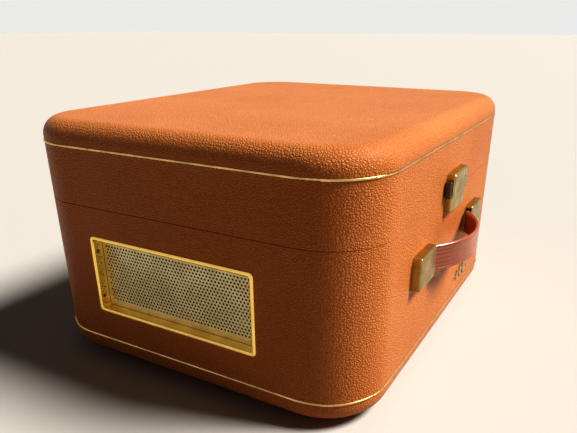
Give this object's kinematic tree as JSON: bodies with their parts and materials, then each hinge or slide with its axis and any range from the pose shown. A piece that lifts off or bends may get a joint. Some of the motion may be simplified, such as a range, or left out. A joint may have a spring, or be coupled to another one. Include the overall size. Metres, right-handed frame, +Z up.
{
  "type": "portable record player",
  "caption": "Portable suitcase record player: covered wooden case with a hinged lid, side speaker, carrying handle, and a turntable, tonearm and amplifier inside.",
  "frame": {"origin": "centre of the whole player's box, handle and hinges included, at the level of the feet's undersides", "axes": "+X to the right along the case, towards the end without the speaker; +Y to the back, where the hinges are; +Z up. The latch and handle are on -Y."},
  "size_m": [0.4026, 0.3642, 0.22],
  "materials": {
    "base_leather": "pebbled leathercloth, satin",
    "lid_leather": "pebbled leathercloth, satin",
    "brass_bead": "polished",
    "steel_tongue": "gilt enamel",
    "foot_rubber": "matt",
    "vent_paint": "satin",
    "inlet_bakelite": "moulded",
    "pin_brass": "plated",
    "hinge_brass": "satin",
    "latch_brass": "aged polish",
    "button_plastic": "moulded",
    "handle_brass": "aged polish",
    "strap_leather": "waxed, gloss",
    "badge_brass": "polished",
    "bezel_brass": "polished",
    "grille_brass": "satin",
    "baffle_wood": "raw",
    "basket_steel": "plated, satin",
    "cone_paper": "felted paper, matt",
    "magnet_iron": "plated",
    "lining_card": "paper-faced card, matt",
    "deck_cloth": "cream leathercloth, satin",
    "control_gilt": "gilt, brushed",
    "knob_plastic": "moulded cream",
    "pot_steel": "plated",
    "lamp_red": "translucent red",
    "chassis_enamel": "cream enamel, gloss",
    "grommet_rubber": "matt",
    "platter_steel": "cream enamel",
    "mat_rubber": "ribbed, matt",
    "spindle_steel": "polished",
    "bearing_brass": "turned",
    "idler_alloy": "pressed",
    "tyre_rubber": "ground",
    "core_steel": "laminated",
    "coil_copper": "waxed wrap",
    "rotor_steel": "turned",
    "arm_plastic": "moulded cream",
    "cartridge_plastic": "moulded",
    "yoke_metal": "gilt, satin",
    "rest_plastic": "moulded cream",
    "amp_steel": "plated",
    "valve_glass": "clear",
    "transformer_steel": "laminated",
    "transformer_wrap": "waxed paper wrap",
    "fastener_steel": "plated"
  },
  "bodies": {
    "base": {"base_shell": "base_leather", "base_bead": "brass_bead", "rim_tongue": "steel_tongue", "rubber_feet": "foot_rubber", "vent_cover": "vent_paint", "mains_inlet": "inlet_bakelite", "mains_inlet_pins": "pin_brass", "hinge_base_leaves": "hinge_brass", "latch_strike": "latch_brass", "handle_bracket_left": "handle_brass", "handle_bracket_right": "handle_brass", "badge": "badge_brass", "speaker_bezel": "bezel_brass", "bezel_pins": "bezel_brass", "speaker_grille": "grille_brass", "speaker_baffle": "baffle_wood", "speaker_basket": "basket_steel", "speaker_cone": "cone_paper", "speaker_magnet": "magnet_iron", "deck_panel": "deck_cloth", "control_plate": "control_gilt", "potentiometers": "pot_steel", "pilot_lamp": "lamp_red", "turntable_chassis": "chassis_enamel", "chassis_grommets": "grommet_rubber", "platter_bearing": "bearing_brass", "idler_arm": "rotor_steel", "motor_core": "core_steel", "motor_coil": "coil_copper", "motor_brackets": "core_steel", "tonearm_base": "arm_plastic", "arm_rest": "rest_plastic", "amp_chassis": "amp_steel", "valves": "valve_glass", "transformer_cores": "transformer_steel", "transformer_coils": "transformer_wrap", "base_fasteners": "fastener_steel"},
    "lid": {"lid_shell": "lid_leather", "lid_bead": "brass_bead", "lid_lining": "lining_card", "hinge_lid_leaves": "hinge_brass", "hinge_lid_screws": "hinge_brass", "latch_case": "latch_brass"},
    "latch_left": {"latch_button_left": "button_plastic"},
    "latch_right": {"latch_button_right": "button_plastic"},
    "handle": {"handle_strap": "strap_leather"},
    "tone_control": {"tone_knob": "knob_plastic"},
    "volume_control": {"volume_knob": "knob_plastic"},
    "speed_control": {"speed_knob": "knob_plastic"},
    "turntable": {"platter": "platter_steel", "platter_mat": "mat_rubber", "spindle": "spindle_steel"},
    "idler": {"idler_wheel": "idler_alloy", "idler_tyre": "tyre_rubber"},
    "motor_shaft": {"motor_rotor": "rotor_steel", "motor_pulley": "bearing_brass"},
    "arm_swivel": {"tonearm_yoke": "yoke_metal"},
    "pickup_arm": {"tonearm": "arm_plastic", "cartridge": "cartridge_plastic"}
  },
  "joints": [
    {"name": "lid_hinge", "type": "hinge", "parent": "base", "child": "lid", "pos_m": [0, 0.1789, 0.15075], "axis": [-1, 0, 0], "range_deg": [0, 95]},
    {"name": "latch_button_left_slide", "type": "slide", "parent": "lid", "child": "latch_left", "axis": [1, 0, 0], "range_m": [0, 0.002], "stiffness_N_per_m": 400, "springref_m": -0.002},
    {"name": "latch_button_right_slide", "type": "slide", "parent": "lid", "child": "latch_right", "axis": [-1, 0, 0], "range_m": [0, 0.002], "stiffness_N_per_m": 400, "springref_m": -0.002},
    {"name": "handle_pull", "type": "slide", "parent": "base", "child": "handle", "axis": [0, -1, 0], "range_m": [0, 0.0015]},
    {"name": "tone_turn", "type": "hinge", "parent": "base", "child": "tone_control", "pos_m": [-0.062, -0.1156, 0.146], "axis": [0, 0, -1], "range_deg": [0, 270]},
    {"name": "volume_turn", "type": "hinge", "parent": "base", "child": "volume_control", "pos_m": [0.062, -0.1156, 0.146], "axis": [0, 0, -1], "range_deg": [0, 270]},
    {"name": "speed_turn", "type": "hinge", "parent": "base", "child": "speed_control", "pos_m": [0.078, -0.0616, 0.147], "axis": [0, 0, -1], "range_deg": [-45, 90]},
    {"name": "platter_spin", "type": "hinge", "parent": "base", "child": "turntable", "pos_m": [-0.05, 0.0304, 0.15], "axis": [0, 0, -1], "continuous": true},
    {"name": "idler_spin", "type": "hinge", "parent": "base", "child": "idler", "pos_m": [-0.00435, 0.10947, 0.151], "axis": [0, 0, -1], "continuous": true},
    {"name": "motor_spin", "type": "hinge", "parent": "base", "child": "motor_shaft", "pos_m": [-0.0142, 0.09241, 0.14], "axis": [0, 0, -1], "continuous": true},
    {"name": "tonearm_swing", "type": "hinge", "parent": "base", "child": "arm_swivel", "pos_m": [0.112, 0.0984, 0.175], "axis": [0, 0, -1], "range_deg": [0, 50]},
    {"name": "tonearm_lift", "type": "hinge", "parent": "arm_swivel", "child": "pickup_arm", "pos_m": [0.112, 0.0984, 0.175], "axis": [-1, 0, 0], "range_deg": [0, 6]}
  ],
  "couplings": [
    {"joint": "idler_spin", "follows": "platter_spin", "ratio": 6.3824},
    {"joint": "motor_spin", "follows": "platter_spin", "ratio": -43.4}
  ]
}
